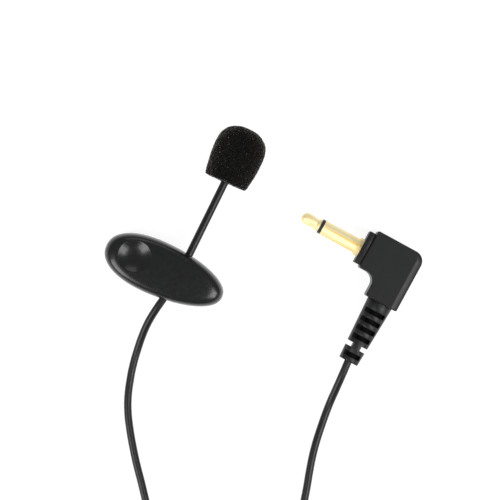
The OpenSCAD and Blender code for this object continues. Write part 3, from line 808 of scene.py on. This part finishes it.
def shell_column(outer, inner, rim):
    """One slice of the shell, from its crown down the outside, round the rim and up the inside."""
    fillet = 0.28
    outside_steps, inside_steps, inside_rings = 160, 60, 26
    start = rim + fillet
    inner_h = SHELL_H - WALL
    reach = math.hypot(*outer)
    line = [(share * reach, RIM_Z + z) for share, z in dome_slice(start, SHELL_H, outside_steps)]
    outside = evenly(line[::-1], OUTSIDE_RINGS)
    column = [(outer[0] * r / reach, outer[1] * r / reach, z) for r, z in outside]
    a = Vector(outer) * dome_share(start, SHELL_H)
    b = Vector(inner) * dome_share(start, inner_h)
    for t in np.linspace(0, math.pi / 2, 5)[1:]:
        p = a.lerp(b, fillet / WALL * (1 - math.cos(t)))
        column.append((p.x, p.y, RIM_Z + rim + fillet * (1 - math.sin(t))))
    for t in np.linspace(0, math.pi / 2, 4):
        p = b.lerp(a, fillet / WALL * (1 - math.sin(t)))
        column.append((p.x, p.y, RIM_Z + rim + fillet * (1 - math.cos(t))))
    reach = math.hypot(*inner)
    line = [(share * reach, RIM_Z + z) for share, z in dome_slice(start, inner_h, inside_steps)]
    inside = evenly(line, inside_rings)[1:]
    column += [(inner[0] * r / reach, inner[1] * r / reach, z) for r, z in inside]
    return column


def jaw_outline(base_z, teeth_z, direction, shift):
    """Side view of a toothed jaw: a block with ridges that point along direction."""
    outline = [(JAW_X, base_z), (JAW_X, teeth_z)]
    x = JAW_X + TOOTH_H + shift
    while x + TOOTH_H < JAW_END:
        outline += [(x - TOOTH_H, teeth_z), (x, teeth_z + direction * TOOTH_H), (x + TOOTH_H, teeth_z)]
        x += TOOTH_PITCH
    outline += [(JAW_END, teeth_z), (JAW_END, base_z)]
    return outline


def dimple_pad():
    """The pad behind the thumb dimple, hollowed a little deeper than the dimple's own bowl."""
    pad = rod_piece((DIMPLE_X, DIMPLE_Y, PAD_Z), (DIMPLE_X, DIMPLE_Y, CROWN_Z), DIMPLE_R)
    depth = 0.35
    top = CROWN_Z + 2
    offs = np.linspace(0.01, DIMPLE_REACH, 12)
    profile = [(r, bowl_z(r) - depth) for r in offs] + [(offs[-1], top), (offs[0], top)]
    place = Matrix.Translation((DIMPLE_X, DIMPLE_Y, 0))
    return combine(pad, [mesh_piece("bowl", *turned(profile, place, closed=False))], "DIFFERENCE")


def hinge_ear(y, low_z, high_z):
    """An ear round the hinge pin, with its arm between two heights."""
    ear = rod_piece((HINGE.x, y - EAR_T / 2, HINGE.z), (HINGE.x, y + EAR_T / 2, HINGE.z), EAR_R)
    arm = box_piece((HINGE.x - EAR_R, y - EAR_T / 2, low_z), (HINGE.x + EAR_R, y + EAR_T / 2, high_z))
    return combine(ear, [arm], "UNION")


def hinge_hole(radius):
    """The cutter for the hinge pin's hole."""
    return rod_piece(HINGE - HINGE_REACH, HINGE + HINGE_REACH, radius)


def shell_bosses():
    """Everything that stands inside the front shell: ears, pad, front jaw and cable holder."""
    ears = [hinge_ear(side * OUTER_EAR_Y, HINGE.z, CROWN_Z) for side in (-1, 1)]
    jaw = prism_piece(jaw_outline(CROWN_Z, RIM_Z, -1, 0), -JAW_W / 2, JAW_W / 2)
    holder_wall = 0.87
    half = CABLE_R + holder_wall
    low_z = 5.5
    end_y = 5.4
    holder = box_piece((STEM_END.x - half, STEM_END.y + 0.2, low_z), (STEM_END.x + half, end_y, CROWN_Z))
    return [dimple_pad(), *ears, jaw, holder]


def inside_limit():
    """A dome halfway through the shell's wall, which everything inside the shell stays within."""
    shares = (1, 0.998, 0.99, 0.97, 0.94, 0.9, 0.84, 0.75, 0.6, 0.4, 0.2, 0.05)
    rings = [[(x, y, PLATE_T + 0.1) for x, y in egg(CLIP_LEN - WALL, CLIP_W - WALL, COARSE_SIDES)]]
    for share in shares:
        z = RIM_Z + dome_z(share, SHELL_H - WALL / 2)
        outline = egg(share * (CLIP_LEN - WALL), share * (CLIP_W - WALL), COARSE_SIDES)
        rings.append([(x, y, z) for x, y in outline])
    return mesh_piece("limit", *stacked_rings(rings), smooth=False)


def make_front_shell():
    """The egg-shaped cover with its thumb dimple, cable notches and everything inside it."""
    outer = egg(CLIP_LEN, CLIP_W)
    inner = egg(CLIP_LEN - 2 * WALL, CLIP_W - 2 * WALL)
    columns = [shell_column(o, i, notch_z(*o)) for o, i in zip(outer, inner)]
    rings = []
    for level in range(1, len(columns[0]) - 1):
        ring = [column[level] for column in columns]
        if level < OUTSIDE_RINGS:
            ring = [(x, y, dimpled(x, y, z)) for x, y, z in ring]
        rings.append(ring)
    shell = mesh_piece("shell", *stacked_rings(rings))
    bosses = [combine(boss, [inside_limit()], "INTERSECT") for boss in shell_bosses()]
    along = (STEM_START - STEM_END).normalized()
    channel_len = 7
    channel = rod_piece(STEM_END - along, STEM_END + channel_len * along, CABLE_R + CHANNEL_GAP)
    combine(shell, bosses, "UNION")
    combine(shell, [channel, hinge_hole(PIN_R)], "DIFFERENCE")
    sharp_edges(shell, 40)
    finished(shell, "clip_shell", "clip_front", LOOKS["clip_plastic"],
             ["clip_front_shell"])


def make_rear_jaw():
    """The flat rear plate with rounded edges, its toothed jaw and its two hinge ears."""
    fillet = 0.4
    support = 0.15
    outline = egg(CLIP_LEN - 2 * PLATE_INSET, CLIP_W - 2 * PLATE_INSET, 192)
    normals = outline_normals(outline)
    quarter = np.linspace(0, math.pi / 2, 6)
    edge = [(fillet + support, 0.0)] + [(fillet * (1 - math.sin(t)), fillet * (1 - math.cos(t)))
                                        for t in quarter]
    levels = edge + [(inset, PLATE_T - z) for inset, z in reversed(edge)]
    rings = [[(x - nx * inset, y - ny * inset, z) for (x, y), (nx, ny) in zip(outline, normals)]
             for inset, z in levels]
    plate = mesh_piece("plate", *stacked_rings(rings))
    jaw = prism_piece(jaw_outline(PLATE_T / 2, RIM_Z - TOOTH_H - 0.1, 1, TOOTH_PITCH / 2),
                      -JAW_W / 2, JAW_W / 2)
    side_room = 1.7
    limit_outline = egg(CLIP_LEN - side_room, CLIP_W - side_room, COARSE_SIDES)
    limit_rings = [[(x, y, z) for x, y in limit_outline] for z in (0.5, RIM_Z)]
    limit = mesh_piece("limit", *stacked_rings(limit_rings), smooth=False)
    jaw = combine(jaw, [limit], "INTERSECT")
    ears = [hinge_ear(side * INNER_EAR_Y, PLATE_T / 2, HINGE.z) for side in (-1, 1)]
    combine(plate, [jaw, *ears], "UNION")
    combine(plate, [hinge_hole(PIN_R + PIN_PLAY)], "DIFFERENCE")
    sharp_edges(plate, 40)
    finished(plate, "clip_rear", "clip_rear", LOOKS["clip_plastic"],
             ["clip_rear_jaw"])


def make_spring():
    """The torsion spring round the hinge pin, as one fixed piece: its upper leg lies under the dimple's
    pad and its lower leg on the rear plate.
    """
    wire_r = 0.225
    coil_r = 1.175
    turns = 4.5
    pitch = 0.5
    per_turn = 28
    start_y = -turns * pitch / 2
    high_z = PAD_Z - wire_r - 0.05
    low_z = PLATE_T + wire_r + 0.02
    leg_len = 5
    leg_x = HINGE.x - leg_len
    bend_x = HINGE.x - leg_len / 2
    path = [(leg_x, start_y, high_z), (bend_x, start_y, (high_z + HINGE.z + coil_r) / 2)]
    for i in range(round(turns * per_turn) + 1):
        a = math.radians(90 - 360 * i / per_turn)
        path.append((HINGE.x + coil_r * math.cos(a), start_y + pitch * i / per_turn,
                     HINGE.z + coil_r * math.sin(a)))
    path += [(bend_x, -start_y, (low_z + HINGE.z - coil_r) / 2), (leg_x, -start_y, low_z)]
    rings = []
    for i, p in enumerate(path):
        along = (Vector(path[min(i + 1, len(path) - 1)]) - Vector(path[max(i - 1, 0)])).normalized()
        across = Vector((0, 1, 0)).cross(along).normalized()
        up = along.cross(across)
        rings.append([Vector(p) + wire_r * (math.cos(a) * across + math.sin(a) * up)
                      for a in np.linspace(0, 2 * math.pi, 12, endpoint=False)])
    spring = mesh_piece("spring", *stacked_rings(rings))
    spring.data.materials.append(LOOKS["steel"])
    spring.name = "clip_spring"
    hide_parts("torsion_spring")
    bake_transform(spring)


# ---------- plug ----------

PLUG = Matrix.Translation(PLUG_AT) @ Matrix.Rotation(PLUG_TURN, 4, "Z")


def plug_rod(start, end, radius):
    """A round bar in the plug's own frame."""
    return rod_piece(PLUG @ Vector(start), PLUG @ Vector(end), radius)


def wire_room(start_y):
    """The cutter for the wires' room, from a place along the plug up to its pin."""
    low_x, high_x, half_z = WIRE_ROOM
    return box_piece((low_x, start_y, -half_z), (high_x, PIN_Y, half_z), PLUG)


def plug_outline(inset, back_inset, steps=10):
    """Side view of the moulded body, moved in by inset, and by back_inset along its back."""
    top = PIN_Y + BODY_ABOVE - inset
    under = PIN_Y - BODY_BELOW + inset
    back = LEG_HALF - back_inset
    small = SMALL_CORNER_R - inset
    return rounded_outline([(-LEG_HALF + inset, RELIEF_LEN + inset, small),
                            (back, RELIEF_LEN + inset, small),
                            (back, top, BACK_CORNER_R - (inset + back_inset) / 2),
                            (FRONT_X + inset, top, small), (FRONT_X + inset, under, small),
                            (-LEG_HALF + inset, under, INNER_CORNER_R + inset)], steps)


def make_plug_body():
    """The moulded right-angle body: a wide chamfer down its back, soft edges elsewhere."""
    edge = 0.22
    chamfer = 1.55
    steps = 6
    squareness = 1.25
    support = 0.06
    steepness = 0.42
    half = BODY_T / 2
    outer = plug_outline(0, 0)
    inner = plug_outline(edge, chamfer)
    inside = plug_outline(edge + support, chamfer + support)
    widths = [(Vector(a) - Vector(b)).length for a, b in zip(outer, inner)]
    drops = [edge + steepness * max(0.0, w - edge) for w in widths]
    rings = []
    for side in (-1, 1):
        stack = [[(x, y, side * (half - d - support)) for (x, y), d in zip(outer, drops)]]
        for k in range(steps + 1):
            a = math.pi / 2 * k / steps
            inset = 1 - max(0.0, math.cos(a)) ** (2 / squareness)
            drop = 1 - math.sin(a) ** (2 / squareness)
            stack.append([(*Vector(o).lerp(Vector(i), inset), side * (half - d * drop))
                          for o, i, d in zip(outer, inner, drops)])
        stack.append([(x, y, side * half) for x, y in inside])
        rings += stack[::-1] if side < 0 else stack
    rings = [[PLUG @ Vector(p) for p in ring] for ring in rings]
    body = mesh_piece("body", *stacked_rings(rings))
    insert_y = RELIEF_LEN + CABLE_INSERT
    room = [box_piece((FRONT_X - 1, PIN_Y - CORE_HALF, -CORE_HALF),
                      (CORE_END, PIN_Y + CORE_HALF, CORE_HALF), PLUG),
            wire_room(insert_y),
            plug_rod((0, RELIEF_LEN - 1, 0), (0, insert_y + 0.2, 0), CABLE_R + 0.05)]
    combine(body, room, "DIFFERENCE")
    sharp_edges(body, 50)
    return finished(body, "plug_housing", "microphone", LOOKS["plug_rubber"],
                    ["plug_body"])


def make_inner_mould():
    """The mould at the plug's face, with the pocket that holds the contacts."""
    nose = box_piece((FACE_X, PIN_Y - NOSE_BELOW, -NOSE_HALF),
                     (FRONT_X + 0.01, PIN_Y + NOSE_ABOVE, NOSE_HALF), PLUG)
    soften(nose, 0.13)
    gap = 0.02
    half = CORE_HALF - gap
    core = box_piece((FRONT_X - 0.4, PIN_Y - half, -half), (CORE_END - gap, PIN_Y + half, half), PLUG)
    combine(nose, [core], "UNION")
    pocket_x = FACE_X + POCKET_START
    sleeve_tail_r = 1.52
    pocket_w = 4.8
    pocket_h = 3.6
    room = [plug_rod((FACE_X - 1, PIN_Y, 0), (pocket_x + 0.01, PIN_Y, 0), sleeve_tail_r),
            box_piece((pocket_x, PIN_Y - pocket_w / 2, -pocket_h / 2),
                      (WIRE_ROOM[1], PIN_Y + pocket_w / 2, pocket_h / 2), PLUG),
            wire_room(PIN_Y - 4)]
    combine(nose, room, "DIFFERENCE")
    sharp_edges(nose, 40)
    return finished(nose, "plug_nose", "microphone", LOOKS["inner_mould"],
                    ["plug_inner_mould"])


def relief_r(y):
    """The strain relief's outer radius at a place along it."""
    return RELIEF_END_R + (RELIEF_ROOT_R - RELIEF_END_R) * y / RELIEF_LEN


def slot_cutters(place_y):
    """The cutters for a slot from above and from below, down to the core and its web."""
    rail = 0.42
    web = 0.5
    core_r = CABLE_R + 0.2
    end_y = place_y + SLOT_W
    reach = relief_r(place_y) - rail
    cutters = []
    for low_z, high_z in ((web, PAST), (-PAST, -web)):
        cutter = box_piece((-reach, place_y, low_z), (reach, end_y, high_z), PLUG)
        core = plug_rod((0, place_y - 1, 0), (0, end_y + 1, 0), core_r)
        cutters.append(combine(cutter, [core], "DIFFERENCE"))
    return cutters


def side_cutters(place_y):
    """The cutters of the slot that is open at both sides instead."""
    inner = CABLE_R + 0.1
    return [box_piece((low_x, place_y, -PAST), (high_x, place_y + SLOT_W, PAST), PLUG)
            for low_x, high_x in ((inner, PAST), (-PAST, -inner))]


def slot_depth(place):
    """How far inside a slot a point is, from 0 on the relief's surface to 1 well below it; this sets the
    painted shade in the slots.
    """
    local = PLUG.inverted() @ place
    below = relief_r(local.y) - math.hypot(local.x, local.z)
    return smoothstep(0.1, 0.55, below) * smoothstep(0.2, 0.6, local.y)


def make_strain_relief():
    """The tapered, slotted strain relief."""
    round_r = 0.2
    insets = [1 - math.sin(t) for t in np.linspace(0, math.pi / 2, 5)]
    outside = [(RELIEF_END_R - round_r * b, round_r * (1 - math.sqrt(max(0.0, 1 - b * b))))
               for b in insets]
    bore = CABLE_R + 0.05
    profile = [(bore, 0.0)] + outside + [(RELIEF_ROOT_R, RELIEF_LEN), (bore, RELIEF_LEN)]
    place = PLUG @ Matrix.Rotation(math.radians(-90), 4, "X")
    relief = mesh_piece("relief", *turned(profile, place))
    cutters = []
    for i in range(SLOTS):
        y = SLOT_FIRST + SLOT_PITCH * i
        cutters += side_cutters(y) if i == SIDE_SLOT else slot_cutters(y)
    for cutter in cutters:
        combine(relief, [cutter], "DIFFERENCE")
    soften(relief, 0.11, 3, 40)
    sharp_edges(relief, 45)
    # painted shade: the material darkens the bottoms of the slots by these numbers
    hold_numbers(relief, "painted_slot_shade", [slot_depth(v.co / MM) for v in relief.data.vertices])
    return finished(relief, "plug_relief", "microphone", LOOKS["plug_rubber"],
                    ["strain_relief"])


# ---------- the whole microphone ----------

def dress_cad_nodes():
    """Gives every CAD node the procedural material of its slot."""
    slots = {row["node"]: row["material_slot"] for row in frame["record"]["subparts"]}
    for name, node in frame["nodes"].items():
        node.data.materials.clear()
        node.data.materials.append(LOOKS[slots[name]])


make_camera()
make_studio()
dress_cad_nodes()
cable = make_cord()
tie = make_tie()
make_windscreen()
make_front_shell()
make_rear_jaw()
make_spring()
plug_pieces = [make_plug_body(), make_inner_mould(), make_strain_relief()]
